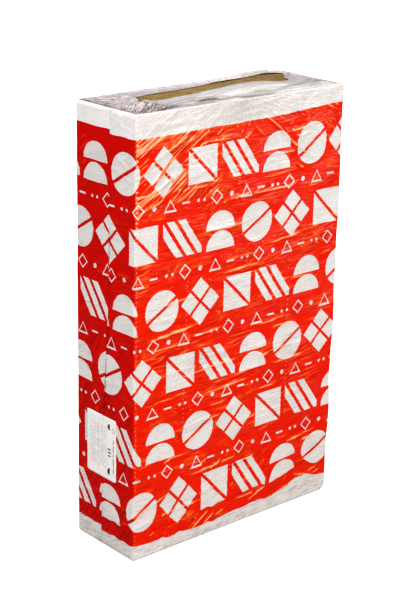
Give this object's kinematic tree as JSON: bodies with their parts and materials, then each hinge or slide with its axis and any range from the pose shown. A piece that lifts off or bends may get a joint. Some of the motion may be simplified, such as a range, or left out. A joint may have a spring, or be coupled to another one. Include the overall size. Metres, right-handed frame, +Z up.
{
  "type": "shrink-wrapped pack of mineral wool facade boards",
  "caption": "Upright pack of thick mineral wool facade boards in a printed shrink film sleeve with open oval mouths at both ends and a paper label.",
  "frame": {"origin": "centre of the pack's footprint, on the floor it stands on", "axes": "+X across the boards' width, away from the labelled narrow face; +Y through the boards' thickness, from the front board to the back board; +Z up along the boards' length"},
  "size_m": [0.6021, 0.2014, 1.0149],
  "materials": {
    "wool": "fibrous, matte, cut across its layers",
    "film": "thin shrink film, printed red with white bands, wrinkled and glossy",
    "label": "satin paper with grey print"
  },
  "bodies": {
    "root": {"board_front": "wool", "board_back": "wool", "shrink_film": "film", "label": "label"}
  },
  "joints": []
}
